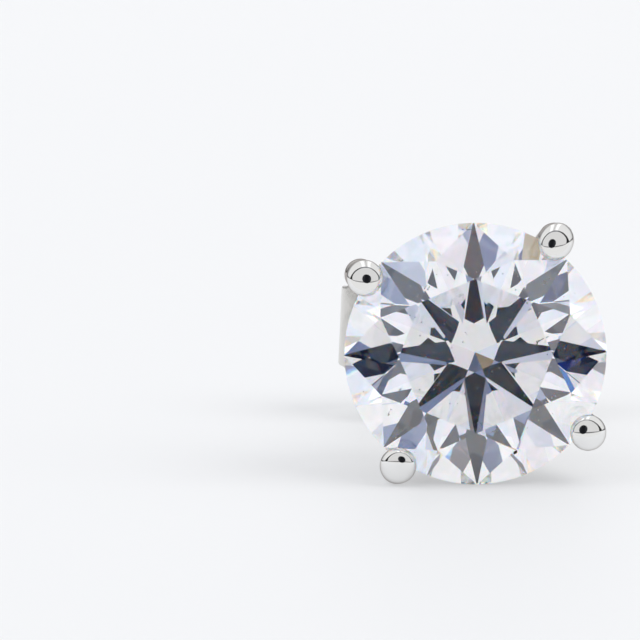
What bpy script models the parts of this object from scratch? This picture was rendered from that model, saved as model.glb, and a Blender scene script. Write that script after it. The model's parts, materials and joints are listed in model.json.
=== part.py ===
"""A diamond stud earring: a round brilliant in a four-prong wire basket, with a friction back on its post.

Metres, +Z up. The stud lies as it comes to rest by itself on a level surface at z = 0, on the stone's
girdle, one prong tip and the rim of the friction back. The stone faces -Y and a little upward, and the
origin is below the middle of the whole earring.

Every piece is drawn in the stud's own frame, whose +Z leaves the table of the stone along its axis and
whose +Y points up once the stud lies at rest. The girdle's middle plane is at z = 0 there.
"""

import math

import bmesh
import bpy
from mathutils import Matrix, Vector

MM = 0.001

# Stone: a round brilliant of one carat
STONE_DIAMETER = 6.5 * MM
GIRDLE_THICKNESS = 0.17 * MM
GIRDLE_SIDES = 64
TABLE_SHARE = 0.585           # table corner to corner, of the diameter
STAR_SHARE = 0.52             # star length, of the way from table edge to girdle
LOWER_HALF_SHARE = 0.76       # lower half length, of the way from girdle to culet
CROWN_ANGLE = math.radians(35.2)
PAVILION_ANGLE = math.radians(40.55)
FOLD = math.radians(45.0)     # a brilliant repeats eight times round its axis
GRIND_SNAP = 0.0002 * MM      # a corner this near a facet's plane lies on it

STONE_TURN = math.radians(0.9)

# Basket: two bent wires that cross behind the culet, each with a prong at either end, and two rails
SEAT_GAP = 0.03 * MM
WIRE_RADIUS_FOOT = 0.33 * MM
WIRE_RADIUS_SHOULDER = 0.40 * MM
TIP_RADIUS = 0.45 * MM
TIP_DOME = 0.30 * MM          # height of the round tip in front of its widest place
BASE_DEPTH = 3.45 * MM        # wire's middle behind the girdle where the two wires cross
FOOT_REACH = 1.75 * MM
FOOT_BEND = 0.55 * MM
SHOULDER_REACH = 3.54 * MM
SHOULDER_BEND = 0.60 * MM
TIP_LEAN = math.radians(20.0)
TIP_REACH = 3.34 * MM         # the tip's widest place, out from the axis
TIP_RISE = 0.34 * MM          # and in front of the girdle
WIRE_SIDES_RESOLUTION = 5     # a curve bevel with this resolution has 14 sides
RAIL_RADIUS = 0.27 * MM
RAIL_INSET = 0.10 * MM        # how far the rails' middle lies inside the prongs'
RAIL_DEPTHS = {"gallery_rail": 1.50 * MM, "base_rail": 3.00 * MM}

# Post, soldered to the crossing, with a pad at its foot and a groove for the friction back
POST_RADIUS = 0.40 * MM
POST_LENGTH = 9.5 * MM        # behind the pad
PAD_RADIUS = 0.85 * MM
PAD_THICKNESS = 0.30 * MM
GROOVE_DEPTH = 0.06 * MM
GROOVE_HALF_LENGTH = 0.35 * MM
POST_SIDES = 16

# Friction back: a strip of sheet whose two ends are rolled in until they press on the post
BACK_DEPTH = 8.60 * MM        # its ear side behind the girdle
BACK_TURN = math.radians(-2.5)
SHEET = 0.30 * MM
LEFT_SPAN = 2.15 * MM         # from the hole to where each roll begins
RIGHT_SPAN = 1.93 * MM
OUTER_CURL = 1.15 * MM
INNER_CURL = 0.74 * MM
INNER_CURL_SWEEP = math.radians(170.0)
GRIP_CLEARANCE = 0.06 * MM
HOLE_CLEARANCE = 0.08 * MM
PLATE_HALF_WIDTH = 2.33 * MM
ROLL_HALF_WIDTH = 1.06 * MM
END_HALF_WIDTH = 0.80 * MM
PLATE_SHARE = 0.12            # share of the way from the hole to an end where the rim stays straight
ROLL_SHARE = 0.42             # and where the rim has come in to the rolls' width
STRIP_ROWS = 56
STRIP_COLUMNS = 8

STONE_RADIUS = STONE_DIAMETER / 2
HALF_GIRDLE = GIRDLE_THICKNESS / 2
PAD_FRONT = BASE_DEPTH + WIRE_RADIUS_FOOT - PAD_THICKNESS / 2
PAD_BACK = PAD_FRONT + PAD_THICKNESS
GRIP_REACH = POST_RADIUS + GRIP_CLEARANCE + SHEET / 2
GRIP_DEPTH = BACK_DEPTH + SHEET / 2 + 2 * OUTER_CURL - INNER_CURL


def clear_scene():
    """Removes every object of the opened file."""
    for thing in list(bpy.data.objects):
        bpy.data.objects.remove(thing, do_unlink=True)


def new_collection(name):
    collection = bpy.data.collections.new(name)
    bpy.context.scene.collection.children.link(collection)
    return collection


def add_object(name, data, collection):
    thing = bpy.data.objects.new(name, data)
    collection.objects.link(thing)
    return thing


def adopt_primitive(name, collection):
    """Names the primitive that was just added, and moves it to its own collection."""
    thing = bpy.context.object
    thing.name = name
    for owner in list(thing.users_collection):
        owner.objects.unlink(thing)
    collection.objects.link(thing)
    return thing


def polar(radius, azimuth, z):
    """A point at a distance from the axis, in the stud's frame."""
    return Vector((radius * math.cos(azimuth), radius * math.sin(azimuth), z))


def make_material(name, colour, roughness, metallic, transmission=0.0, ior=1.5):
    material = bpy.data.materials.new(name)
    material.use_nodes = True
    shader = material.node_tree.nodes["Principled BSDF"]
    shader.inputs["Base Color"].default_value = (*colour, 1.0)
    shader.inputs["Roughness"].default_value = roughness
    shader.inputs["Metallic"].default_value = metallic
    shader.inputs["Transmission Weight"].default_value = transmission
    shader.inputs["IOR"].default_value = ior
    return material


def plane_through(a, b, c):
    """A facet's plane through three of its corners, with its normal away from the stone's middle."""
    normal = (b - a).cross(c - a).normalized()
    return a, normal if normal.dot(a) > 0 else -normal


def facet_planes():
    """The planes of all facets of the brilliant, each as a point and an outward normal."""
    table_reach = TABLE_SHARE * STONE_RADIUS
    table_z = HALF_GIRDLE + (STONE_RADIUS - table_reach) * math.tan(CROWN_ANGLE)
    table_edge = table_reach * math.cos(FOLD / 2)
    star_reach = table_edge + STAR_SHARE * (STONE_RADIUS - table_edge)
    star_z = HALF_GIRDLE + (STONE_RADIUS - star_reach * math.cos(FOLD / 2)) * math.tan(CROWN_ANGLE)
    lower_reach = (1 - LOWER_HALF_SHARE) * STONE_RADIUS
    lower_z = -HALF_GIRDLE - (STONE_RADIUS - lower_reach * math.cos(FOLD / 2)) * math.tan(PAVILION_ANGLE)

    planes = [(Vector((0, 0, table_z)), Vector((0, 0, 1)))]
    for step in range(8):
        main = STONE_TURN + step * FOLD
        between = main + FOLD / 2
        crown_foot = polar(STONE_RADIUS, main, HALF_GIRDLE)
        pavilion_foot = polar(STONE_RADIUS, main, -HALF_GIRDLE)
        star_tip = polar(star_reach, between, star_z)
        lower_tip = polar(lower_reach, between, lower_z)
        planes.append((crown_foot, polar(math.sin(CROWN_ANGLE), main, math.cos(CROWN_ANGLE))))
        planes.append((pavilion_foot, polar(math.sin(PAVILION_ANGLE), main, -math.cos(PAVILION_ANGLE))))
        planes.append(plane_through(
            polar(table_reach, main, table_z), polar(table_reach, main + FOLD, table_z), star_tip))
        for side in (main, main + FOLD):
            planes.append(plane_through(
                star_tip, polar(STONE_RADIUS, side, HALF_GIRDLE), polar(STONE_RADIUS, between, HALF_GIRDLE)))
            planes.append(plane_through(
                lower_tip, polar(STONE_RADIUS, side, -HALF_GIRDLE), polar(STONE_RADIUS, between, -HALF_GIRDLE)))
    return planes


def grind_stone(name, collection, oversize=0.0):
    """The stone, cut as on the wheel: a round blank that every facet's plane takes a slice from."""
    bm = bmesh.new()
    bmesh.ops.create_cone(
        bm, cap_ends=True, segments=GIRDLE_SIDES, depth=2 * STONE_DIAMETER,
        radius1=STONE_RADIUS + oversize, radius2=STONE_RADIUS + oversize,
        matrix=Matrix.Rotation(STONE_TURN, 4, "Z"))
    for point, normal in facet_planes():
        bmesh.ops.bisect_plane(
            bm, geom=bm.verts[:] + bm.edges[:] + bm.faces[:], dist=GRIND_SNAP,
            plane_co=point + oversize * normal, plane_no=normal, clear_outer=True)
        bmesh.ops.holes_fill(bm, edges=[edge for edge in bm.edges if edge.is_boundary])
    bmesh.ops.recalc_face_normals(bm, faces=bm.faces)
    mesh = bpy.data.meshes.new(name)
    bm.to_mesh(mesh)
    bm.free()
    return add_object(name, mesh, collection)


def bend_path(corners, arc_steps=6):
    """Points along a wire through corners given as (point, bend radius), with each bend as an arc."""
    points = [corners[0][0]]
    for (before, _), (corner, bend), (after, _) in zip(corners, corners[1:], corners[2:]):
        incoming = (corner - before).normalized()
        outgoing = (after - corner).normalized()
        turn = incoming.angle(outgoing)
        middle = corner + (outgoing - incoming).normalized() * bend / math.cos(turn / 2)
        start = corner - incoming * bend * math.tan(turn / 2)
        axis = incoming.cross(outgoing).normalized()
        for step in range(arc_steps + 1):
            swing = Matrix.Rotation(turn * step / arc_steps, 3, axis)
            points.append(middle + swing @ (start - middle))
    points.append(corners[-1][0])
    return points


def prong_wire_path(azimuth):
    """Middle line and radius of one bent wire, from the crown of one round tip to the other's."""
    tip = polar(TIP_REACH, azimuth, TIP_RISE)
    shoulder = polar(SHOULDER_REACH, azimuth, 0.0)
    foot = polar(FOOT_REACH, azimuth, -BASE_DEPTH)
    base = Vector((0, 0, -BASE_DEPTH))
    half = bend_path([(tip, 0), (shoulder, SHOULDER_BEND), (foot, FOOT_BEND), (base, 0)])
    rows = []
    for index, point in enumerate(half):
        climb = (point.z + BASE_DEPTH) / BASE_DEPTH
        radius = WIRE_RADIUS_FOOT + (WIRE_RADIUS_SHOULDER - WIRE_RADIUS_FOOT) * min(climb, 1.0)
        rows.append((point, TIP_RADIUS if index == 0 else radius))
    lean = Vector((-math.cos(azimuth) * math.sin(TIP_LEAN), -math.sin(azimuth) * math.sin(TIP_LEAN),
                   math.cos(TIP_LEAN)))
    dome = [(tip + lean * TIP_DOME * math.sin(angle), TIP_RADIUS * math.cos(angle))
            for angle in (math.radians(degrees) for degrees in (86, 70, 52, 34, 17))]
    half = dome + rows
    turned = Matrix.Rotation(math.pi, 3, "Z")
    other = [(turned @ point, radius) for point, radius in reversed(half[:-1])]
    return half + other


def wire_mesh(name, rows, collection):
    """A round wire along rows of (point, radius), as a closed mesh."""
    curve = bpy.data.curves.new(name, "CURVE")
    curve.dimensions = "3D"
    curve.bevel_depth = TIP_RADIUS
    curve.bevel_resolution = WIRE_SIDES_RESOLUTION
    curve.use_fill_caps = True
    spline = curve.splines.new("POLY")
    spline.points.add(len(rows) - 1)
    for spline_point, (point, radius) in zip(spline.points, rows):
        spline_point.co = (*point, 1.0)
        spline_point.radius = radius / TIP_RADIUS
    drawn = add_object(name + "_line", curve, collection)
    evaluated = drawn.evaluated_get(bpy.context.evaluated_depsgraph_get())
    mesh = bpy.data.meshes.new_from_object(evaluated)
    bm = bmesh.new()
    bm.from_mesh(mesh)
    bmesh.ops.remove_doubles(bm, verts=bm.verts, dist=0.0005 * MM)
    bmesh.ops.recalc_face_normals(bm, faces=bm.faces)
    bm.to_mesh(mesh)
    bm.free()
    wire = add_object(name, mesh, collection)
    wire.matrix_world = drawn.matrix_world
    bpy.data.objects.remove(drawn, do_unlink=True)
    return wire


def rail_mesh(name, depth, collection):
    """A round wire ring let into the prongs at a depth behind the girdle."""
    prong_reach = SHOULDER_REACH - (SHOULDER_REACH - FOOT_REACH) * depth / BASE_DEPTH
    bpy.ops.mesh.primitive_torus_add(
        major_radius=prong_reach - RAIL_INSET, minor_radius=RAIL_RADIUS,
        major_segments=48, minor_segments=12, location=(0, 0, -depth))
    return adopt_primitive(name, collection)


def post_mesh(name, collection):
    """The turned post with its pad, its fillet of solder, the groove and a rounded end."""
    end = -(PAD_BACK + POST_LENGTH)
    groove = POST_RADIUS - GROOVE_DEPTH
    profile = [
        (0.0, -PAD_FRONT),
        (PAD_RADIUS, -PAD_FRONT),
        (PAD_RADIUS, -PAD_BACK),
        (POST_RADIUS + 0.14 * MM, -PAD_BACK),
        (POST_RADIUS + 0.04 * MM, -PAD_BACK - 0.10 * MM),
        (POST_RADIUS, -PAD_BACK - 0.25 * MM),
        (POST_RADIUS, -GRIP_DEPTH + GROOVE_HALF_LENGTH),
        (groove, -GRIP_DEPTH + GROOVE_HALF_LENGTH / 2),
        (groove, -GRIP_DEPTH - GROOVE_HALF_LENGTH / 2),
        (POST_RADIUS, -GRIP_DEPTH - GROOVE_HALF_LENGTH),
        (POST_RADIUS, end + 0.30 * MM),
        (0.85 * POST_RADIUS, end + 0.12 * MM),
        (0.50 * POST_RADIUS, end),
        (0.0, end),
    ]
    bm = bmesh.new()
    verts = [bm.verts.new((radius, 0.0, z)) for radius, z in profile]
    for upper, lower in zip(verts, verts[1:]):
        bm.edges.new((upper, lower))
    mesh = bpy.data.meshes.new(name)
    bm.to_mesh(mesh)
    bm.free()
    post = add_object(name, mesh, collection)
    turning = post.modifiers.new("turned", "SCREW")
    turning.axis = "Z"
    turning.steps = POST_SIDES
    turning.render_steps = POST_SIDES
    turning.use_merge_vertices = True
    turning.merge_threshold = 0.0005 * MM
    turning.use_smooth_shade = False
    return post


def add_boolean(target, operand, operation):
    operand.hide_render = True
    operand.display_type = "WIRE"
    boolean = target.modifiers.new(f"{operation.lower()} {operand.name}", "BOOLEAN")
    boolean.operation = operation
    boolean.object = operand
    return boolean


def build_setting(parts, cutters):
    """Both prong wires, the rails and the post, soldered into one and cut to seat the stone."""
    azimuth = resting_azimuth()
    setting = wire_mesh("setting", prong_wire_path(azimuth), parts)
    add_boolean(setting, post_mesh("post", cutters), "UNION")
    for name, depth in RAIL_DEPTHS.items():
        add_boolean(setting, rail_mesh(name, depth, cutters), "UNION")
    second_wire = wire_mesh("second_wire", prong_wire_path(azimuth + math.pi / 2), cutters)
    add_boolean(setting, second_wire, "UNION")
    add_boolean(setting, grind_stone("seat", cutters, oversize=SEAT_GAP), "DIFFERENCE")
    return setting


def strip_path(travel):
    """Where the sheet's middle runs, for a travel from -1 to 1 along the strip: its x, and z behind the plate."""
    side, span = (-1.0, LEFT_SPAN) if travel < 0 else (1.0, RIGHT_SPAN)
    straight = span - (GRIP_REACH + INNER_CURL)
    legs = (span, math.pi * OUTER_CURL, straight, INNER_CURL_SWEEP * INNER_CURL)
    run = abs(travel) * sum(legs)
    if run <= legs[0]:
        return side * run, 0.0
    run -= legs[0]
    if run <= legs[1]:
        angle = run / OUTER_CURL
        x = span + OUTER_CURL * math.sin(angle)
        return side * x, -OUTER_CURL * (1 - math.cos(angle))
    run -= legs[1]
    if run <= legs[2]:
        return side * (span - run), -2 * OUTER_CURL
    angle = (run - legs[2]) / INNER_CURL
    x = span - straight - INNER_CURL * math.sin(angle)
    return side * x, -2 * OUTER_CURL + INNER_CURL * (1 - math.cos(angle))


def strip_half_width(travel):
    """Half the blank's width: straight along the plate, eased in to the rolls, tapered to the end."""
    share = abs(travel)
    step = min(max((share - PLATE_SHARE) / (ROLL_SHARE - PLATE_SHARE), 0.0), 1.0)
    eased = step * step * (3 - 2 * step)
    taper = max(share - ROLL_SHARE, 0.0) / (1 - ROLL_SHARE)
    return (PLATE_HALF_WIDTH + (ROLL_HALF_WIDTH - PLATE_HALF_WIDTH) * eased
            + (END_HALF_WIDTH - ROLL_HALF_WIDTH) * taper)


def build_friction_back(parts, cutters, axis):
    """A blank of sheet, rolled along strip_path, given its thickness and pierced for the post."""
    bm = bmesh.new()
    bmesh.ops.create_grid(bm, x_segments=STRIP_ROWS, y_segments=STRIP_COLUMNS, size=1.0)
    for vert in bm.verts:
        travel, across = vert.co.x, vert.co.y
        x, z = strip_path(travel)
        vert.co = (x, across * strip_half_width(travel), z)
    mesh = bpy.data.meshes.new("friction_back")
    bm.to_mesh(mesh)
    bm.free()
    back = add_object("friction_back", mesh, parts)
    sheet = back.modifiers.new("sheet", "SOLIDIFY")
    sheet.thickness = SHEET
    sheet.offset = 0.0
    sheet.use_even_offset = True
    bpy.ops.mesh.primitive_cylinder_add(
        vertices=POST_SIDES, radius=POST_RADIUS + HOLE_CLEARANCE, depth=3 * SHEET)
    hole = adopt_primitive("post_hole", cutters)
    hole.parent = axis
    back.parent = axis
    add_boolean(back, hole, "DIFFERENCE")
    return back


def resting_slope():
    """How far the post dips behind the stone, once the girdle and the back's rim touch one level surface."""
    slopes = []
    for step in range(-STRIP_ROWS, STRIP_ROWS + 1):
        travel = step / STRIP_ROWS
        x, z = strip_path(travel)
        drop = strip_half_width(travel) * math.cos(BACK_TURN) - x * math.sin(BACK_TURN)
        depth = BACK_DEPTH + SHEET - z
        slopes.append(math.atan2(STONE_RADIUS - drop, depth - HALF_GIRDLE))
    return min(slopes)


def resting_azimuth():
    """Azimuth of the first prong wire once a tip has rolled down onto the surface beside the girdle."""
    slope = resting_slope()
    rim = STONE_RADIUS * math.cos(slope) + HALF_GIRDLE * math.sin(slope)
    touches = []
    for point, radius in prong_wire_path(0.0):
        if point.x > STONE_RADIUS:
            touches.append(math.acos((rim + point.z * math.sin(slope) - radius) / (point.x * math.cos(slope))))
    return math.pi / 2 - max(touches)


def world_bounds(things):
    """Lowest and highest corner of all things, as they are evaluated."""
    bpy.context.view_layer.update()
    depsgraph = bpy.context.evaluated_depsgraph_get()
    corners = []
    for thing in things:
        evaluated = thing.evaluated_get(depsgraph)
        mesh = evaluated.to_mesh()
        corners += [thing.matrix_world @ vert.co for vert in mesh.vertices]
        evaluated.to_mesh_clear()
    low = Vector([min(corner[axis] for corner in corners) for axis in range(3)])
    high = Vector([max(corner[axis] for corner in corners) for axis in range(3)])
    return low, high


def build_earring():
    clear_scene()
    parts = new_collection("diamond_earring")
    cutters = new_collection("cutters")
    diamond_finish = make_material("diamond", (0.97, 0.98, 1.0), 0.0, 0.0, transmission=1.0, ior=2.417)
    gold_finish = make_material("rhodium_plated_white_gold", (0.83, 0.83, 0.82), 0.08, 1.0)

    stud_axis = add_object("stud_axis", None, parts)
    back_axis = add_object("back_axis", None, parts)
    back_axis.parent = stud_axis
    back_axis.location = (0, 0, -(BACK_DEPTH + SHEET / 2))
    back_axis.rotation_euler = (0, 0, BACK_TURN)

    diamond = grind_stone("diamond", parts)
    setting = build_setting(parts, cutters)
    for thing in (diamond, setting, *cutters.objects):
        thing.parent = stud_axis
    friction_back = build_friction_back(parts, cutters, back_axis)

    diamond.data.materials.append(diamond_finish)
    for thing in (setting, friction_back):
        thing.data.materials.append(gold_finish)

    stud_axis.rotation_euler = (math.pi / 2 - resting_slope(), 0, 0)
    low, high = world_bounds((diamond, setting, friction_back))
    stud_axis.location = (-(low.x + high.x) / 2, -(low.y + high.y) / 2, -low.z)
    bpy.context.view_layer.update()


build_earring()
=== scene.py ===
import json
import math

import bmesh
import bpy
import numpy as np
from mathutils import Matrix, Vector


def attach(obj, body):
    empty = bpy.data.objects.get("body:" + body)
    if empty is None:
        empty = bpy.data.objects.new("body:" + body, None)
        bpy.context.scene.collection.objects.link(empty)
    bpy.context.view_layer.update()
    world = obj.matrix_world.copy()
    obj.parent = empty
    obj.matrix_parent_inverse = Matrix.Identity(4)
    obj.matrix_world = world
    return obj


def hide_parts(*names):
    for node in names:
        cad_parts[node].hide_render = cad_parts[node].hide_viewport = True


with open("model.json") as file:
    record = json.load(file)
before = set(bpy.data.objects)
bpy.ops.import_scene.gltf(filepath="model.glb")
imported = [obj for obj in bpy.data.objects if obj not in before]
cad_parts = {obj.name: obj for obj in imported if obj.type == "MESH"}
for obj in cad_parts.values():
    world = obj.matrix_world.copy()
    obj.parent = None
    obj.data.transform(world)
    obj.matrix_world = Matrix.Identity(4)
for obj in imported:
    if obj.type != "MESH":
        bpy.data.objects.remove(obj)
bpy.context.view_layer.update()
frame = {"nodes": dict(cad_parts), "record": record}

# How the stud lies
# Put down loose, it rests on the stone's girdle, one claw and the rim of its back. Each piece is drawn in
# millimetres in the stud's own frame: +Z leaves the stone's table, +Y is up, and the girdle is at z = 0.
MM = 0.001
TABLE_HEIGHT = 1.0364
table_mount = next(mount for mount in frame["record"]["mounts"] if mount["name"] == "table")
forward = Vector(table_mount["axis"]).normalized()
sideways = Vector((1, 0, 0))
stud_origin = Vector(table_mount["pos_m"]) - forward * TABLE_HEIGHT * MM
stud_place = (
    Matrix.Translation(stud_origin)
    @ Matrix((sideways, forward.cross(sideways), forward)).transposed().to_4x4()
    @ Matrix.Scale(MM, 4)
)


# The camera
# A long lens 150 mm in front of the stone, almost in line with its axis: nine degrees above the table
# top, and a touch to the left. The stone stands to the right of the picture's middle and below it.
CAMERA_DISTANCE = 150 * MM
CAMERA_YAW = math.radians(0.8)
CAMERA_RISE = math.radians(9.17)
HALF_ANGLE = math.radians(3.03)
SENSOR_WIDTH = 36
PICTURE_WIDTH = 640
STONE_RIGHT, STONE_DOWN = 155.5, 33.0     # pixels from the picture's middle to the stone's

to_camera = Vector((
    -math.sin(CAMERA_YAW) * math.cos(CAMERA_RISE),
    -math.cos(CAMERA_YAW) * math.cos(CAMERA_RISE),
    math.sin(CAMERA_RISE)))
view_right = (-to_camera).cross(Vector((0, 0, 1))).normalized()
view_up = view_right.cross(-to_camera).normalized()
pixel = 2 * CAMERA_DISTANCE * math.tan(HALF_ANGLE) / PICTURE_WIDTH

camera_data = bpy.data.cameras.new("camera")
camera_data.sensor_width = SENSOR_WIDTH
camera_data.lens = SENSOR_WIDTH / 2 / math.tan(HALF_ANGLE)
camera_data.clip_start = 0.01
camera_data.clip_end = 10
camera = bpy.data.objects.new("camera", camera_data)
bpy.context.scene.collection.objects.link(camera)
camera.location = stud_origin + to_camera * CAMERA_DISTANCE
aim = stud_origin - view_right * STONE_RIGHT * pixel + view_up * STONE_DOWN * pixel
camera.rotation_mode = "QUATERNION"
camera.rotation_quaternion = (aim - camera.location).to_track_quat("-Z", "Y")
bpy.context.scene.camera = camera


# The stone
# A colourless one-carat diamond cut as a round brilliant, every facet ground flat and polished on the
# wheel. The claws hold it by its edge. Its solid is already cut facet by facet, so it is kept as it is.
def hex_linear(code):
    """The linear colour of an sRGB hex value."""
    shares = [int(code[place:place + 2], 16) / 255 for place in (1, 3, 5)]
    return (*[s / 12.92 if s <= 0.04045 else ((s + 0.055) / 1.055) ** 2.4 for s in shares], 1.0)


def add_node(tree, kind, inputs=None, **settings):
    """A node with its settings, and its inputs by name or number: each a value, or an output to link."""
    node = tree.nodes.new(kind)
    for name, value in settings.items():
        setattr(node, name, value)
    for name, value in (inputs or {}).items():
        if isinstance(value, bpy.types.NodeSocket):
            tree.links.new(value, node.inputs[name])
        else:
            node.inputs[name].default_value = value
    return node


diamond = frame["nodes"]["diamond"]
for facet in diamond.data.polygons:
    facet.use_smooth = False

# Polished diamond throws back a sixth of the light that meets it, traps most of what gets in, and bends
# blue more than red, which the eye sees as fire along the facets' edges.
DIAMOND_IOR, RED_IOR, BLUE_IOR = 2.417, 2.405, 2.442
TRAPPED = 0.1                             # share of an inside reflection that a real facet loses
COLOUR_BANDS = [                          # colour, the parts it is mixed into, and how much it bends
    ("#BCDABC", 2, DIAMOND_IOR), ("#BC6C00", 4, RED_IOR), ("#006CBC", 4, BLUE_IOR),
]
diamond_polished = bpy.data.materials.new("diamond_polished")
diamond_polished.use_nodes = True
tree = diamond_polished.node_tree
tree.nodes.clear()
reflected = add_node(tree, "ShaderNodeFresnel", {"IOR": DIAMOND_IOR}).outputs["Fac"]
inside = add_node(tree, "ShaderNodeNewGeometry").outputs["Backfacing"]
spared = add_node(tree, "ShaderNodeMapRange", {
    "Value": reflected, "From Min": TRAPPED, "From Max": 1.0, "To Min": 0.0, "To Max": 1.0})
share = add_node(tree, "ShaderNodeMix", {0: inside, 2: reflected, 3: spared.outputs["Result"]},
                 data_type="FLOAT")
bent = [
    add_node(tree, "ShaderNodeBsdfRefraction", {
        "Color": [part * parts for part in hex_linear(colour)], "Roughness": 0.0, "IOR": ior}).outputs[0]
    for colour, parts, ior in COLOUR_BANDS
]
fire = add_node(tree, "ShaderNodeMixShader", {0: 0.5, 1: bent[1], 2: bent[2]})
through = add_node(tree, "ShaderNodeMixShader", {0: 0.5, 1: bent[0], 2: fire.outputs[0]})
gloss = add_node(tree, "ShaderNodeBsdfGlossy", {"Color": hex_linear("#FFFFFF"), "Roughness": 0.0})
surface = add_node(tree, "ShaderNodeMixShader", {
    0: share.outputs[0], 1: through.outputs[0], 2: gloss.outputs[0]})
add_node(tree, "ShaderNodeOutputMaterial", {"Surface": surface.outputs[0]})
diamond.data.materials.clear()
diamond.data.materials.append(diamond_polished)


# The stone's flaws
# Grown into the diamond: one dark crystal that the polishing has just laid open near the crown's lower edge,
# small feathers, which are cracks that throw back light, and pinpoints, tiny pale crystals deep inside.
def flaw_piece(name, mesh, material):
    """A flaw drawn in the stud's frame, put in its place in the stone."""
    mesh.transform(stud_place)
    mesh.materials.append(material)
    piece = bpy.data.objects.new(name, mesh)
    bpy.context.scene.collection.objects.link(piece)
    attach(piece, "stud")


def flaw_finish(name, hex_dark, hex_pale, roughness, spacing):
    """A mineral's skin, mottled between two colours at a spacing in millimetres."""
    finish = bpy.data.materials.new(name)
    finish.use_nodes = True
    tree = finish.node_tree
    tree.nodes.clear()
    place = add_node(tree, "ShaderNodeTexCoord").outputs["Object"]
    in_mm = add_node(tree, "ShaderNodeVectorMath", {0: place, "Scale": 1 / MM}, operation="SCALE").outputs[0]
    mottle = add_node(tree, "ShaderNodeTexNoise", {"Vector": in_mm, "Scale": 1 / spacing}).outputs["Fac"]
    colour = add_node(tree, "ShaderNodeMix", {
        0: mottle, 6: hex_linear(hex_dark), 7: hex_linear(hex_pale)}, data_type="RGBA").outputs[2]
    skin = add_node(tree, "ShaderNodeBsdfPrincipled", {"Base Color": colour, "Roughness": roughness})
    add_node(tree, "ShaderNodeOutputMaterial", {"Surface": skin.outputs[0]})
    return finish


# The dark crystal: a blunt eight-sided grain, let into the crown facet that lies right below this point.
CRYSTAL_ABOVE = (0.985, -2.40, 2.0)
CRYSTAL_HALF, CRYSTAL_TURN = (0.074, 0.040, 0.036), math.radians(64)
CRYSTAL_BLUNTING, CRYSTAL_FULLNESS = 0.7, 1.25
_, met, outward, _ = diamond.ray_cast(stud_place @ Vector(CRYSTAL_ABOVE), -forward)
heart = stud_place.inverted() @ met
leaning = (stud_place.to_3x3().inverted() @ outward).normalized()
swing = Vector((0, 0, 1)).rotation_difference(leaning).to_matrix() @ Matrix.Rotation(CRYSTAL_TURN, 3, "Z")
crystal = bmesh.new()
bmesh.ops.create_icosphere(crystal, subdivisions=2, radius=1.0)
for vert in crystal.verts:
    blunt = vert.co.normalized() / sum(abs(part) for part in vert.co) ** CRYSTAL_BLUNTING
    sized = Vector([CRYSTAL_FULLNESS * part * half for part, half in zip(blunt, CRYSTAL_HALF)])
    vert.co = swing @ sized + heart
mesh = bpy.data.meshes.new("dark_crystal")
crystal.to_mesh(mesh)
crystal.free()

# Garnet shut in while the diamond grew, laid open by the wheel: black, with a dull skin.
flaw_piece("dark_crystal", mesh, flaw_finish("garnet_black_grown_in", "#050505", "#1C1917", 0.6, 0.03))

# The pinpoints: those that show well first, then a thin scatter, all between crown and pavilion.
PINPOINTS = [
    (1.20, -0.99, 0.75), (1.91, -0.98, 0.60), (0.02, 2.92, 0.10), (-1.35, 1.42, 0.62), (1.20, -0.97, 0.5),
]
STRAYS, STRAY_REACH = 34, 2.9
CROWN_TOP, CROWN_EDGE, CROWN_SLOPE = 0.95, 3.1, 0.70
SHALLOWEST, DEPTH_SPREAD = 0.3, 0.65      # shares of the crown's height over a pinpoint
PINPOINT_LEAST, PINPOINT_GROWTH = 0.010, 0.012
scatter = np.random.default_rng(7)
for _ in range(STRAYS):
    reach, way = STRAY_REACH * math.sqrt(scatter.random()), scatter.random() * 2 * math.pi
    roof = min(CROWN_TOP, (CROWN_EDGE - reach) * CROWN_SLOPE)
    height = roof * (SHALLOWEST + DEPTH_SPREAD * scatter.random())
    PINPOINTS.append((reach * math.cos(way), reach * math.sin(way), height))
specks = bmesh.new()
for point in PINPOINTS:
    size = PINPOINT_LEAST + PINPOINT_GROWTH * scatter.random()
    grown = bmesh.ops.create_icosphere(specks, subdivisions=1, radius=size)
    bmesh.ops.translate(specks, verts=grown["verts"], vec=point)
mesh = bpy.data.meshes.new("pinpoints")
specks.to_mesh(mesh)
specks.free()

# Tiny diamonds grown in askew: as pale as the stone, but each one catches the light.
flaw_piece("pinpoints", mesh, flaw_finish("diamond_pinpoints_pale", "#C9D2DC", "#F4F6F8", 0.5, 0.02))

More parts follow.
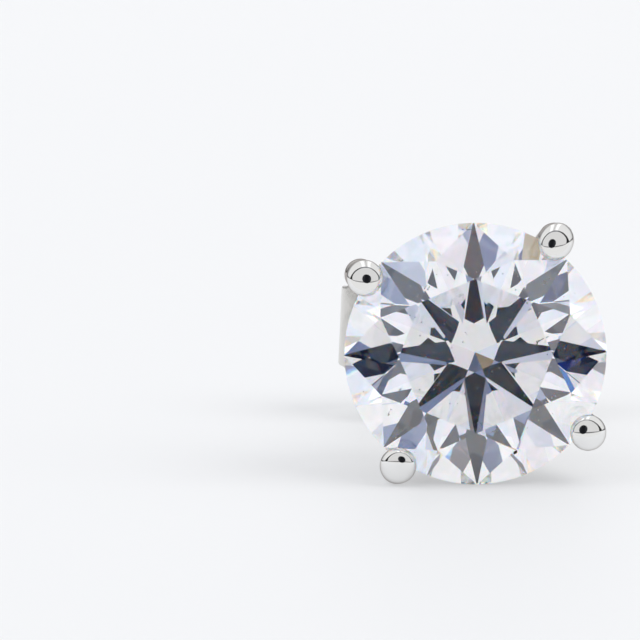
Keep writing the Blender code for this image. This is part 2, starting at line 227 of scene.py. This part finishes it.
# Each feather: middle, half length, how many flakes it breaks into, and its turn in degrees.
FEATHERS = [
    ((1.56, 0.36, 0.45), 0.17, 26, 35), ((0.44, -1.77, 0.55), 0.13, 20, 10),
    ((1.62, 1.72, 0.30), 0.15, 16, 40), ((-0.15, 3.02, 0.02), 0.22, 22, 5),
    ((-1.14, 1.55, 0.50), 0.12, 12, 60), ((-2.05, -1.35, 0.25), 0.15, 16, 50),
]
FEATHER_LEAN = math.radians(62)
FLAKE_SPREAD = (0.45, 0.22, 0.05)         # along, across and out of the crack, in its half lengths
FLAKE_ROCK, FLAKE_TWIST = 0.5, 6.3        # in radians
FLAKE_LEAST, FLAKE_GROWTH, FLAKE_HALF_THICK = 0.012, 0.022, 0.003
FLAKE_RIM = ((-1, -0.4), (0.1, -0.8), (1, 0), (-0.1, 0.7))
flakes = bmesh.new()
for middle, length, count, turned in FEATHERS:
    swing = Matrix.Rotation(math.radians(turned), 3, "Z") @ Matrix.Rotation(FEATHER_LEAN, 3, "X")
    for _ in range(count):
        drift = Vector([scatter.normal(0, spread) for spread in FLAKE_SPREAD])
        heart = swing @ drift * length + Vector(middle)
        rock = Matrix.Rotation(scatter.normal(0, FLAKE_ROCK), 3, "X")
        tilt = swing @ rock @ Matrix.Rotation(scatter.random() * FLAKE_TWIST, 3, "Z")
        size = FLAKE_LEAST + FLAKE_GROWTH * scatter.random()
        ring = [flakes.verts.new(heart + tilt @ Vector((size * x, size * y, 0))) for x, y in FLAKE_RIM]
        out = tilt @ Vector((0, 0, FLAKE_HALF_THICK))
        peak, low = flakes.verts.new(heart + out), flakes.verts.new(heart - out)
        for one, two in zip(ring, ring[1:] + ring[:1]):
            flakes.faces.new((one, two, peak))
            flakes.faces.new((two, one, low))
mesh = bpy.data.meshes.new("feathers")
flakes.to_mesh(mesh)
flakes.free()

# Broken diamond: fresh crack faces, silvery where they turn to the light.
flaw_piece("feathers", mesh, flaw_finish("diamond_feathers_silvery", "#C3C6C4", "#FBFCFA", 0.4, 0.03))


# The setting's claws, rails, pad and post
# Two white gold wires are bent into four claws that cross behind the stone, and two wire rings and the
# post's pad are soldered to them. The claws' ends are domed over the stone and polished with the rest.
STONE_RADIUS = 3.25
CLAW_WIRE_FOOT, CLAW_WIRE_SHOULDER = 0.33, 0.40
BASE_DEPTH = 3.45
FOOT_REACH, FOOT_BEND = 1.75, 0.55
SHOULDER_REACH, SHOULDER_RISE, SHOULDER_BEND = 3.50, -0.10, 0.25
SEAT_GAP, SEAT_EDGE = 0.03, 0.03
GALLERY_RAIL, BASE_RAIL = 1.50, 3.00      # depths behind the girdle
RAIL_WIRE, RAIL_INSET = 0.27, 0.10
SOLDER = 0.12                             # how far the solder's fillets reach
PAD_RADIUS, PAD_FRONT, PAD_BACK, PAD_EDGE = 0.85, 3.63, 3.93, 0.08
POST_RADIUS, POST_END, POST_TIP = 0.40, 13.43, 0.22
GRIP_DEPTH, GROOVE_DEPTH, GROOVE_HALF = 10.31, 0.06, 0.22
# Each claw is a little different, as it was bent and filed by hand: its end's reach from the axis, shift to
# the side, half width across and along the claw, height, and lean outward and aside in degrees.
CLAW_ENDS = [
    (3.43, -0.06, 0.43, 0.49, 0.28, 14, -8),
    (3.33, -0.01, 0.45, 0.46, 0.28, 9, -1),
    (3.36, -0.02, 0.45, 0.49, 0.28, 24, 0),
    (3.40, -0.02, 0.45, 0.46, 0.25, 15, 3),
]
CLAW_END_RISE, CLAW_BLEND = 0.34, 0.10
CLAW_WIRE_END = (3.40, 0.03)
OVER_GIRDLE = 0.3                         # where a point of the solid is part of a claw's end
UPRIGHT = 0.1                             # a facet with less slope than this belongs to the girdle
WELD = 0.0005                             # corners closer than this are one
TINY = 1e-9                               # keeps a division by nought away


def filleted(a, b, reach):
    """Two distances joined with a fillet, as solder flows between two pieces."""
    share = np.clip(0.5 + 0.5 * (b - a) / reach, 0.0, 1.0)
    return b + (a - b) * share - reach * share * (1 - share)


def rounded_block(beyond, edge):
    """Distance to a block with rounded edges, from how far points are beyond its two faces."""
    beyond = np.stack(beyond) + edge
    return np.hypot(*np.maximum(beyond, 0)) + np.minimum(beyond.max(0), 0) - edge


def wire_line(corners, steps=7):
    """Rows (u, z) along a wire bent in one plane through corners (u, z, bend radius)."""
    rows = [Vector(corners[0][:2])]
    for before, corner, after in zip(corners, corners[1:], corners[2:]):
        here, bend = Vector(corner[:2]), corner[2]
        coming = (here - Vector(before[:2])).normalized()
        going = (Vector(after[:2]) - here).normalized()
        cut = bend * math.tan(coming.angle(going) / 2)
        start, end = here - coming * cut, here + going * cut
        for step in range(steps + 1):
            share = step / steps
            rows.append((1 - share) ** 2 * start + 2 * share * (1 - share) * here + share ** 2 * end)
    rows.append(Vector(corners[-1][:2]))
    return np.array([tuple(row) for row in rows])


def wire_distance(u, v, z, rows, radii):
    """Distance from points to a round wire whose middle line lies in the plane v = 0."""
    nearest = np.full(u.shape, np.inf)
    for (u0, z0), (u1, z1), r0, r1 in zip(rows, rows[1:], radii, radii[1:]):
        du, dz = u1 - u0, z1 - z0
        along = np.clip(((u - u0) * du + (z - z0) * dz) / (du * du + dz * dz), 0.0, 1.0)
        gap = np.sqrt((u - u0 - along * du) ** 2 + v ** 2 + (z - z0 - along * dz) ** 2)
        nearest = np.minimum(nearest, gap - r0 - along * (r1 - r0))
    return nearest


def in_stud(mesh):
    """A mesh's points in the stud's frame, in millimetres."""
    points = np.empty(len(mesh.vertices) * 3, np.float32)
    mesh.vertices.foreach_get("co", points)
    to_mm = np.array(stud_place.inverted())
    return points.reshape(-1, 3).astype(float) @ to_mm[:3, :3].T + to_mm[:3, 3]


# The claws stand where the solid has them: over the girdle, the first one up and to the right.
setting_points = in_stud(frame["nodes"]["setting"].data)
first_end = setting_points[(setting_points > (0, 0, OVER_GIRDLE)).all(1)]
claw_azimuth = math.atan2(first_end[:, 1].mean(), first_end[:, 0].mean())
claw_rows = wire_line([
    (*CLAW_WIRE_END, 0), (SHOULDER_REACH, SHOULDER_RISE, SHOULDER_BEND), (FOOT_REACH, -BASE_DEPTH, FOOT_BEND),
    (0, -BASE_DEPTH, 0)])
claw_climb = np.clip((claw_rows[:, 1] + BASE_DEPTH) / BASE_DEPTH, 0, 1)
claw_radii = CLAW_WIRE_FOOT + (CLAW_WIRE_SHOULDER - CLAW_WIRE_FOOT) * claw_climb

# The seat is cut to the stone: one plane a small gap outside each of its facets, apart from the girdle's.
facet_planes = {}
diamond_points = in_stud(diamond.data)
for facet in diamond.data.polygons:
    corners = diamond_points[list(facet.vertices)]
    normal = np.cross(corners[1] - corners[0], corners[2] - corners[0])
    normal /= np.linalg.norm(normal)
    if abs(normal[2]) > UPRIGHT:
        facet_planes[tuple(np.round(normal, 3))] = (normal, normal @ corners[0] + SEAT_GAP)
seat_normals = np.array([normal for normal, _ in facet_planes.values()])
seat_offsets = np.array([offset for _, offset in facet_planes.values()])


def claw_end_distance(u, v, z, shapes):
    """Distance from points to the dome at a claw's end, whose row of CLAW_ENDS each point has."""
    reach, shift, half_across, half_along, height, out, aside = shapes.T
    out, aside = np.radians(out), np.radians(aside)
    ahead, rise = u - reach, z - CLAW_END_RISE
    along = (ahead * np.cos(out) - rise * np.sin(out)) / half_along
    top, off = ahead * np.sin(out) + rise * np.cos(out), v - shift
    across = (off * np.cos(aside) - top * np.sin(aside)) / half_across
    high = (top * np.cos(aside) + off * np.sin(aside)) / height
    size = np.sqrt(across ** 2 + along ** 2 + high ** 2)
    steep = np.sqrt((across / half_across) ** 2 + (along / half_along) ** 2 + (high / height) ** 2)
    return size * (size - 1) / np.maximum(steep, TINY)


def setting_distance(points):
    """Distance from points to the soldered setting's surface, in millimetres."""
    x, y, z = points.T
    reach = np.hypot(x, y)
    azimuth = np.arctan2(y, x) - claw_azimuth
    claw = np.round(azimuth / (math.pi / 2)).astype(int)
    beside = np.sign(azimuth - claw * math.pi / 2).astype(int)
    claws = []
    for number in (claw, claw + np.where(beside == 0, 1, beside)):
        turned = azimuth - number * math.pi / 2
        u, v = reach * np.cos(turned), reach * np.sin(turned)
        arm = wire_distance(u, v, z, claw_rows, claw_radii)
        dome = claw_end_distance(u, v, z, np.array(CLAW_ENDS)[number % 4])
        claws.append(filleted(arm, dome, CLAW_BLEND))
    metal = filleted(*claws, CLAW_BLEND)
    for depth in (GALLERY_RAIL, BASE_RAIL):
        ring = FOOT_REACH + (SHOULDER_REACH - FOOT_REACH) * (1 - depth / BASE_DEPTH) - RAIL_INSET
        metal = filleted(metal, np.hypot(reach - ring, z + depth) - RAIL_WIRE, SOLDER)
    half = (PAD_BACK - PAD_FRONT) / 2
    pad = rounded_block([reach - PAD_RADIUS, np.abs(z + PAD_FRONT + half) - half], PAD_EDGE)
    metal = filleted(metal, pad, SOLDER)
    groove = GROOVE_DEPTH * np.exp(-((z + GRIP_DEPTH) / GROOVE_HALF) ** 4)
    post = rounded_block([reach - POST_RADIUS + groove, -(z + POST_END)], POST_TIP)
    metal = filleted(metal, np.maximum(post, z + PAD_FRONT), SOLDER)
    seat = np.maximum((points @ seat_normals.T - seat_offsets).max(1), reach - STONE_RADIUS - SEAT_GAP)
    return -filleted(-metal, seat, SEAT_EDGE)


def settle(points, distance, rounds):
    """Moves points onto the surface where the distance is nought."""
    feel, least_slope, longest_move = 0.004, 0.2, 0.06
    for _ in range(rounds):
        height = distance(points)
        slope = np.stack([
            (distance(points + feel * axis) - distance(points - feel * axis)) / (2 * feel)
            for axis in np.eye(3)], 1)
        move = (height / np.maximum((slope ** 2).sum(1), least_slope))[:, None] * slope
        reach = np.linalg.norm(move, axis=1, keepdims=True)
        points = points - move * np.minimum(1, longest_move / np.maximum(reach, TINY))
    return points


def finely_made(node, name, square, distance):
    """A piece with the CAD node's shape in even small squares, laid on a smooth surface and put in place."""
    mesh = frame["nodes"][node].data.copy()
    mesh.transform(stud_place.inverted())
    shell = bmesh.new()
    shell.from_mesh(mesh)
    bmesh.ops.remove_doubles(shell, verts=shell.verts, dist=WELD)
    shell.to_mesh(mesh)
    shell.free()
    blank = bpy.data.objects.new(name + "_blank", mesh)
    bpy.context.scene.collection.objects.link(blank)
    for kind, rounds, settings in (("REMESH", 4, {"mode": "VOXEL", "voxel_size": square}),
                                   ("SUBSURF", 2, {"levels": 1, "render_levels": 1})):
        modifier = blank.modifiers.new(kind, kind)
        for key, value in settings.items():
            setattr(modifier, key, value)
        drawn = bpy.data.meshes.new_from_object(blank.evaluated_get(bpy.context.evaluated_depsgraph_get()))
        points = np.empty(len(drawn.vertices) * 3, np.float32)
        drawn.vertices.foreach_get("co", points)
        points = settle(points.reshape(-1, 3).astype(float), distance, rounds)
        drawn.vertices.foreach_set("co", points.astype(np.float32).ravel())
        blank.modifiers.clear()
        blank.data = drawn
    bpy.data.objects.remove(blank)
    drawn.name = name
    drawn.transform(stud_place)
    drawn.materials.clear()
    drawn.shade_smooth()
    piece = bpy.data.objects.new(name, drawn)
    bpy.context.scene.collection.objects.link(piece)
    return piece


setting = finely_made("setting", "setting_wires", square=0.08, distance=setting_distance)

# Rhodium plated white gold, buffed to a mirror: a cool white metal whose reflections wander a little and
# darken at its edges. The buffing lines, hair-thin on the real one, are drawn 0.11 mm wide so that they show
# as a faint softening.
HAND_WAVES, BUFFING_LINES = 1 / 1.1, 1 / 9
rhodium_mirror = bpy.data.materials.new("rhodium_plated_gold_buffed")
rhodium_mirror.use_nodes = True
tree = rhodium_mirror.node_tree
tree.nodes.clear()
place = add_node(tree, "ShaderNodeTexCoord").outputs["Object"]
in_mm = add_node(tree, "ShaderNodeVectorMath", {0: place, "Scale": 1 / MM}, operation="SCALE").outputs[0]
waves = add_node(tree, "ShaderNodeTexNoise", {
    "Vector": in_mm, "Scale": 1 / HAND_WAVES, "Detail": 2.0}).outputs["Fac"]
grain = add_node(tree, "ShaderNodeTexNoise", {
    "Vector": in_mm, "Scale": 1 / BUFFING_LINES, "Detail": 6.0}).outputs["Fac"]
polish = add_node(tree, "ShaderNodeMapRange", {
    "Value": grain, "From Min": 0.35, "From Max": 0.75, "To Min": 0.025, "To Max": 0.075}).outputs["Result"]
relief = add_node(tree, "ShaderNodeMath", {0: grain, 1: 0.05, 2: waves}, operation="MULTIPLY_ADD").outputs[0]
bump = add_node(tree, "ShaderNodeBump", {"Height": relief, "Strength": 0.12, "Distance": 0.03 * MM})
metal = add_node(tree, "ShaderNodeBsdfPrincipled", {
    "Base Color": hex_linear("#EFEFEE"), "Metallic": 1.0, "Specular Tint": hex_linear("#AFA8A4"),
    "Roughness": polish, "Normal": bump.outputs["Normal"]})
add_node(tree, "ShaderNodeOutputMaterial", {"Surface": metal.outputs["BSDF"]})
setting.data.materials.append(rhodium_mirror)
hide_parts("setting")
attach(setting, "stud")


# The friction back
# A strip of white gold sheet, punched for the post and rolled in at both ends until the rolls spring
# against it. It is stamped, tumbled with steel shot and plated, so it is bright but never a true mirror.
BACK_DEPTH = 8.60                         # its ear side behind the girdle
BACK_TURN = math.radians(-2.5)
SHEET, SHEET_EDGE = 0.30, 0.07            # its thickness, and the tumbled edge's radius
LEFT_SPAN, RIGHT_SPAN = 2.15, 1.93        # from the hole to where each roll begins
OUTER_CURL, INNER_CURL = 1.15, 0.74
INNER_SWEEP = math.radians(170.0)
GRIP_REACH = 0.61                         # the rolls' middle from the post's axis
HOLE_RADIUS, HOLE_EDGE = 0.48, 0.06
DISH_DEPTH, DISH_RADIUS = 0.10, 0.75      # the punch dishes the sheet round the hole
NEAR_DISH, NEAR_HOLE = 0.8, 0.5           # from the plate's middle to where dish and hole end
PLATE_HALF_WIDTH, ROLL_HALF_WIDTH, END_HALF_WIDTH = 2.33, 1.06, 0.80
PLATE_SHARE, ROLL_SHARE = 0.12, 0.42      # shares of the way along the strip where its width changes
PLATE_ROWS, OUTER_ROWS, INNER_ROWS = 12, 40, 32


def rolled_strip(span):
    """Rows (x, z) along one half of the strip's middle, and how far along it each row is, from 0 to 1."""
    inner_start = GRIP_REACH + INNER_CURL
    rows = [(x, 0.0) for x in np.linspace(0, span, PLATE_ROWS)]
    rows += [(span + OUTER_CURL * math.sin(turn), -OUTER_CURL * (1 - math.cos(turn)))
             for turn in np.linspace(0, math.pi, OUTER_ROWS)[1:]]
    rows += [(inner_start - INNER_CURL * math.sin(turn), -2 * OUTER_CURL + INNER_CURL * (1 - math.cos(turn)))
             for turn in np.linspace(0, INNER_SWEEP, INNER_ROWS)]
    rows = np.array(rows)
    runs = np.concatenate([[0], np.cumsum(np.hypot(*np.diff(rows, axis=0).T))])
    return rows, runs / runs[-1]


def half_strip_distance(side, y, z, span):
    """Distance from points to one half of the strip, which narrows from plate to roll to end."""
    rows, shares = rolled_strip(span)
    nearest, share = np.full(side.shape, np.inf), np.zeros(side.shape)
    for (x0, z0), (x1, z1), begin, end in zip(rows, rows[1:], shares, shares[1:]):
        dx, dz = x1 - x0, z1 - z0
        along = np.clip(((side - x0) * dx + (z - z0) * dz) / (dx * dx + dz * dz), 0.0, 1.0)
        gap = np.hypot(side - x0 - along * dx, z - z0 - along * dz)
        share = np.where(gap < nearest, begin + along * (end - begin), share)
        nearest = np.minimum(nearest, gap)
    step = np.clip((share - PLATE_SHARE) / (ROLL_SHARE - PLATE_SHARE), 0.0, 1.0)
    taper = np.maximum(share - ROLL_SHARE, 0.0) / (1 - ROLL_SHARE)
    half_width = (PLATE_HALF_WIDTH + (ROLL_HALF_WIDTH - PLATE_HALF_WIDTH) * step * step * (3 - 2 * step)
                  + (END_HALF_WIDTH - ROLL_HALF_WIDTH) * taper)
    return rounded_block([nearest - SHEET / 2, np.abs(y) - half_width], SHEET_EDGE)


def back_distance(points):
    """Distance from points to the rolled strip's surface, in millimetres."""
    x = points[:, 0] * math.cos(BACK_TURN) + points[:, 1] * math.sin(BACK_TURN)
    y = points[:, 1] * math.cos(BACK_TURN) - points[:, 0] * math.sin(BACK_TURN)
    z = points[:, 2] + BACK_DEPTH + SHEET / 2
    reach = np.hypot(x, y)
    dished = z + DISH_DEPTH * np.exp(-(reach / DISH_RADIUS) ** 2) * (np.abs(z) < NEAR_DISH)
    sheet = np.empty(x.shape)
    for side, span in ((x < 0, LEFT_SPAN), (x >= 0, RIGHT_SPAN)):
        sheet[side] = half_strip_distance(np.abs(x[side]), y[side], dished[side], span)
    hole = np.where(np.abs(z) < NEAR_HOLE, HOLE_RADIUS - reach, -1.0)
    return -filleted(-sheet, -hole, HOLE_EDGE)


friction_back = finely_made("friction_back", "rolled_back", square=0.07, distance=back_distance)

# Rhodium plated sheet, shot tumbled, with a soft shimmer of tiny dents. Its colour is set a little darker and
# warmer than the claws' metal, as painted shade over the whole back. The steel shot leaves the dents a few
# hundredths of a millimetre wide, and here they are 0.25 mm so that they show.
SHOT_DENTS, SHEET_WAVES = 0.25, 0.625
rhodium_tumbled_painted_shade = bpy.data.materials.new("rhodium_plated_gold_tumbled_painted_shade")
rhodium_tumbled_painted_shade.use_nodes = True
tree = rhodium_tumbled_painted_shade.node_tree
tree.nodes.clear()
place = add_node(tree, "ShaderNodeTexCoord").outputs["Object"]
in_mm = add_node(tree, "ShaderNodeVectorMath", {0: place, "Scale": 1 / MM}, operation="SCALE").outputs[0]
dents = add_node(tree, "ShaderNodeTexVoronoi", {
    "Vector": in_mm, "Scale": 1 / SHOT_DENTS}, feature="SMOOTH_F1").outputs["Distance"]
waves = add_node(tree, "ShaderNodeTexNoise", {
    "Vector": in_mm, "Scale": 1 / SHEET_WAVES, "Detail": 3.0}).outputs["Fac"]
relief = add_node(tree, "ShaderNodeMath", {0: dents, 1: 0.15, 2: waves}, operation="MULTIPLY_ADD").outputs[0]
bump = add_node(tree, "ShaderNodeBump", {"Height": relief, "Strength": 0.25, "Distance": 0.04 * MM})
worn = add_node(tree, "ShaderNodeMapRange", {
    "Value": waves, "From Min": 0.3, "From Max": 0.7, "To Min": 0.16, "To Max": 0.28}).outputs["Result"]
# The base colour, darker and warmer than the claws' #EFEFEE, is painted shade.
metal = add_node(tree, "ShaderNodeBsdfPrincipled", {
    "Base Color": hex_linear("#DAD8D4"), "Metallic": 1.0,
    "Roughness": worn, "Normal": bump.outputs["Normal"]})
add_node(tree, "ShaderNodeOutputMaterial", {"Surface": metal.outputs["BSDF"]})
friction_back.data.materials.append(rhodium_tumbled_painted_shade)
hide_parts("friction_back")
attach(friction_back, "back")


# The table top
# A sheet of white acrylic, matt and lit a little from below. The metal mirrors only its middle, and the
# stone shows a strip in front of that too. The rest is there for the camera alone.
SIDE_EDGE, FRONT_EDGE, MIDDLE_EDGE, FAR = 0.060, -0.040, -0.0105, 2.0
SHEETS = [
    # name, left, right, near and far edges, whether metal mirrors it, and whether it shows in the stone
    ("table_top", -SIDE_EDGE, SIDE_EDGE, MIDDLE_EDGE, FAR, True, True),
    ("table_near", -SIDE_EDGE, SIDE_EDGE, FRONT_EDGE, MIDDLE_EDGE, False, True),
    ("table_left", -FAR, -SIDE_EDGE, FRONT_EDGE, FAR, False, False),
    ("table_right", SIDE_EDGE, FAR, FRONT_EDGE, FAR, False, False),
    ("table_front", -FAR, FAR, -FAR, FRONT_EDGE, False, False),
]
acrylic = bpy.data.materials.new("acrylic_white_matt")
acrylic.use_nodes = True
tree = acrylic.node_tree
tree.nodes.clear()
sheet_face = add_node(tree, "ShaderNodeBsdfPrincipled", {
    "Base Color": hex_linear("#9C9C9C"), "Roughness": 0.55, "IOR": 1.49,
    "Emission Color": hex_linear("#F2F3F5"), "Emission Strength": 0.48})
add_node(tree, "ShaderNodeOutputMaterial", {"Surface": sheet_face.outputs[0]})
for name, left, right, near, far, mirrored, shown in SHEETS:
    mesh = bpy.data.meshes.new(name)
    corners = [(left, near, 0), (right, near, 0), (right, far, 0), (left, far, 0)]
    mesh.from_pydata(corners, [], [(0, 1, 2, 3)])
    mesh.materials.append(acrylic)
    top = bpy.data.objects.new(name, mesh)
    bpy.context.scene.collection.objects.link(top)
    top.visible_glossy = mirrored
    top.visible_transmission = shown


# The light
# A tent of white cloth round the stud: a panel towards the camera with a round opening for the lens, a dark
# gap round the panel, bright strip lamps above it, grey curtains behind, and small cards that only the stone
# catches. Two broad soft boxes from the left and right, a little in front, throw the soft shadows.
LENS_OPENING, LENS_RIM = 16.5, 24.0       # every angle here is in degrees, from the line of sight
LENS_IN_METAL = 18.3
PANEL_SIDE, PANEL_TOP = 65.0, 48.5
GAP_SIDE, GAP_TOP = 1.26, 1.13            # the gap's outer edge, over the panel's
ARCH_FOOT, ARCH_FOOT_IN_METAL = -75, -14
ARCH_ROUNDNESS = 3.0                      # 2 would be an ellipse, and more is nearer to a rectangle
LAMPS_END = 128
LAMP_WHITE = (1.10, 1.10, 1.10, 1.0)      # brighter than any cloth
CURTAINS, CURTAIN_EDGE = (112, 140), 18   # where the curtains fade in and out, and how far each takes
RIM_LEAN = 0.16                           # how much wider the lens's rim is to the left
BRIGHTNESS = 1.12
world = bpy.data.worlds.new("tent")
bpy.context.scene.world = world
world.use_nodes = True
tree = world.node_tree
tree.nodes.clear()

# Directions: tilt is above the line of sight, sweep to its right, turned to either side, off_axis away from
# it, and level above the table top. A glossy ray comes from the metal, unless it left a perfect mirror, which
# here is only the stone.
ray = add_node(tree, "ShaderNodeTexCoord").outputs["Generated"]
toward, right, rise = [
    add_node(tree, "ShaderNodeVectorMath", {0: ray, 1: tuple(axis)}, operation="DOT_PRODUCT").outputs["Value"]
    for axis in (to_camera, view_right, view_up)]
level = add_node(tree, "ShaderNodeSeparateXYZ", {0: ray}).outputs["Z"]
angles = [
    add_node(tree, "ShaderNodeMath", sides, operation=operation).outputs[0]
    for operation, sides in (("ARCTAN2", {0: right, 1: toward}), ("ARCTAN2", {0: rise, 1: toward}),
                             ("ARCCOSINE", {0: toward}))]
sweep, tilt, off_axis = [
    add_node(tree, "ShaderNodeMath", {0: angle}, operation="DEGREES").outputs[0] for angle in angles]
turned, aside = [
    add_node(tree, "ShaderNodeMath", {0: value}, operation="ABSOLUTE").outputs[0] for value in (sweep, right)]
climbed = add_node(tree, "ShaderNodeMath", {0: tilt, 1: 0.0}, operation="MAXIMUM").outputs[0]
ray_kind = add_node(tree, "ShaderNodeLightPath").outputs
in_metal = add_node(tree, "ShaderNodeMath", {
    0: ray_kind["Is Glossy Ray"], 1: ray_kind["Is Singular Ray"]}, operation="GREATER_THAN").outputs[0]
elsewhere = add_node(tree, "ShaderNodeMath", {0: 1.0, 1: in_metal}, operation="SUBTRACT").outputs[0]

# The panel, and the gap that shows round it, are arches: each value is below 1 inside its own.
arches = []
for side, top in ((PANEL_SIDE, PANEL_TOP), (PANEL_SIDE * GAP_SIDE, PANEL_TOP * GAP_TOP)):
    parts = [add_node(tree, "ShaderNodeMath", {0: angle, 1: reach}, operation="DIVIDE").outputs[0]
             for angle, reach in ((turned, side), (climbed, top))]
    rounds = [add_node(tree, "ShaderNodeMath", {0: part, 1: ARCH_ROUNDNESS}, operation="POWER").outputs[0]
              for part in parts]
    arches.append(add_node(tree, "ShaderNodeMath", dict(enumerate(rounds)), operation="ADD").outputs[0])
panel_arch, gap_arch = arches

# Soft edges: the curtains fade in and out, and the lens has a rim that fades into the panel.
lean = add_node(tree, "ShaderNodeMath", {
    0: sweep, 1: RIM_LEAN, 2: off_axis}, operation="MULTIPLY_ADD").outputs[0]
begun, ended, rim = [
    add_node(tree, "ShaderNodeMapRange", {
        "Value": angle, "From Min": low, "From Max": high, "To Min": at_low, "To Max": 1 - at_low}).outputs[0]
    for angle, low, high, at_low in (
        (turned, CURTAINS[0], CURTAINS[0] + CURTAIN_EDGE, 0.0),
        (turned, CURTAINS[1], CURTAINS[1] + CURTAIN_EDGE, 0.0),
        (lean, LENS_OPENING, LENS_RIM, 1.0))]
curtains = add_node(tree, "ShaderNodeMath", {0: begun, 1: ended}, operation="SUBTRACT").outputs[0]

# Shades: the direction that each follows, where it begins and ends, and its colours there.
shades = []
for value, low, high, hex_low, hex_high in (
        (right, -0.8, 0.8, "#D3DAE5", "#F6FBFF"), (right, -0.6, 0.6, "#D9E1EE", "#E2DFE6"),
        (turned, 22, 50, "#5A647E", "#2E282D"), (turned, 7, 12, "#070C20", "#182036")):
    along = add_node(tree, "ShaderNodeMapRange", {"Value": value, "From Min": low, "From Max": high})
    shades.append(add_node(tree, "ShaderNodeMix", {
        0: along.outputs[0], 6: hex_linear(hex_low), 7: hex_linear(hex_high)}, data_type="RGBA").outputs[2])
cloth, panel, gap, lens = shades

# What hangs in the tent, each thing over the ones before it: its name, its colour, the rays or soft edges
# that hold it, and its limits, each one a direction with its lowest and highest value.
HUNG = [
    ("cloth in metal", hex_linear("#E8E7E8"), [in_metal], []),
    ("upper cloth behind", hex_linear("#D4D7DC"), [], [(tilt, 110, 170)]),
    ("floor cloth", hex_linear("#E4E6EC"), [elsewhere], [(tilt, -170, -2)]),
    ("floor cloth in metal", hex_linear("#E6E5E5"), [in_metal], [(tilt, -170, -2)]),
    ("curtains", hex_linear("#9B9EA6"), [curtains], [(level, -1.0, 0.8)]),
    ("skirting", hex_linear("#5A5B62"), [], [(level, -0.02, 0.05), (turned, 75, 181)]),
    ("ceiling in metal", hex_linear("#E6E5E6"), [in_metal], [(tilt, PANEL_TOP, LAMPS_END)]),
    ("strip lamps", LAMP_WHITE, [elsewhere], [(tilt, PANEL_TOP, LAMPS_END), (aside, 0.07, 0.40)]),
    ("strip lamps in metal", LAMP_WHITE, [in_metal], [(tilt, PANEL_TOP, LAMPS_END), (aside, 0.11, 0.30)]),
    ("lamp bar", hex_linear("#C4B9BC"), [], [(tilt, PANEL_TOP, LAMPS_END), (right, -0.035, 0.035)]),
    ("gap", gap, [elsewhere], [(gap_arch, -1, 1), (tilt, ARCH_FOOT, 90)]),
    ("gap in metal", gap, [in_metal], [(gap_arch, -1, 1), (tilt, ARCH_FOOT_IN_METAL, 90)]),
    ("panel", panel, [elsewhere], [(panel_arch, -1, 1), (tilt, ARCH_FOOT, 90)]),
    ("panel in metal", hex_linear("#DAD8D9"), [in_metal], [
        (panel_arch, -1, 1), (tilt, ARCH_FOOT_IN_METAL, 90)]),
    ("left card", hex_linear("#8A7C66"), [elsewhere], [(sweep, -47, -38), (tilt, 33.5, 40)]),
    ("right card", hex_linear("#A79A82"), [elsewhere], [(sweep, 41, 47), (tilt, -6, 1)]),
    ("table's front edge", hex_linear("#77747A"), [], [(tilt, -16, -11.5), (turned, -1, PANEL_SIDE)]),
    ("lens rim", hex_linear("#69769A"), [elsewhere, rim], []),
    ("lens", lens, [elsewhere], [(off_axis, -1, LENS_OPENING)]),
    ("lens in metal", lens, [in_metal], [(off_axis, -1, LENS_IN_METAL)]),
]
light = cloth
for name, colour, masks, limits in HUNG:
    for value, low, high in limits:
        for limit, side in ((low, "GREATER_THAN"), (high, "LESS_THAN")):
            masks.append(add_node(tree, "ShaderNodeMath", {0: value, 1: limit}, operation=side).outputs[0])
    held = masks[0]
    for mask in masks[1:]:
        held = add_node(tree, "ShaderNodeMath", {0: held, 1: mask}, operation="MULTIPLY").outputs[0]
    light = add_node(tree, "ShaderNodeMix", {0: held, 6: light, 7: colour}, data_type="RGBA",
                     label=name).outputs[2]

# The metal mirrors a paler tent: three quarters of the light's colour is taken out for the metal's glossy
# rays alone, a painted reflection. The camera's own view of the tent is plain pale cloth.
METAL_REFLECTION_PALES = 0.75
paled = add_node(tree, "ShaderNodeMath", {
    0: in_metal, 1: -METAL_REFLECTION_PALES, 2: 1.0}, operation="MULTIPLY_ADD").outputs[0]
light = add_node(tree, "ShaderNodeHueSaturation", {"Color": light, "Saturation": paled}).outputs["Color"]
light = add_node(tree, "ShaderNodeMix", {
    0: ray_kind["Is Camera Ray"], 6: light, 7: hex_linear("#E8EAEC")}, data_type="RGBA").outputs[2]
tent = add_node(tree, "ShaderNodeBackground", {"Color": light, "Strength": BRIGHTNESS})
add_node(tree, "ShaderNodeOutputWorld", {"Surface": tent.outputs[0]})

SOFT_BOX_SPREAD = math.radians(45)        # how large a soft box looks from the stud
for name, way, energy in (("soft_box_right", (0.65, -0.30, 0.70), 1.7),
                          ("soft_box_left", (-0.65, -0.30, 0.70), 0.8)):
    lamp = bpy.data.lights.new(name, "SUN")
    lamp.angle = SOFT_BOX_SPREAD
    lamp.energy = energy
    soft_box = bpy.data.objects.new(name, lamp)
    soft_box.rotation_euler = Vector(way).to_track_quat("Z", "Y").to_euler()
    bpy.context.scene.collection.objects.link(soft_box)
    soft_box.visible_transmission = soft_box.visible_glossy = False

# Light has to meet many facets before it leaves a diamond.
BOUNCES = 24
scene = bpy.context.scene
scene.view_settings.view_transform = "Standard"
scene.cycles.max_bounces = scene.cycles.transmission_bounces = scene.cycles.glossy_bounces = BOUNCES
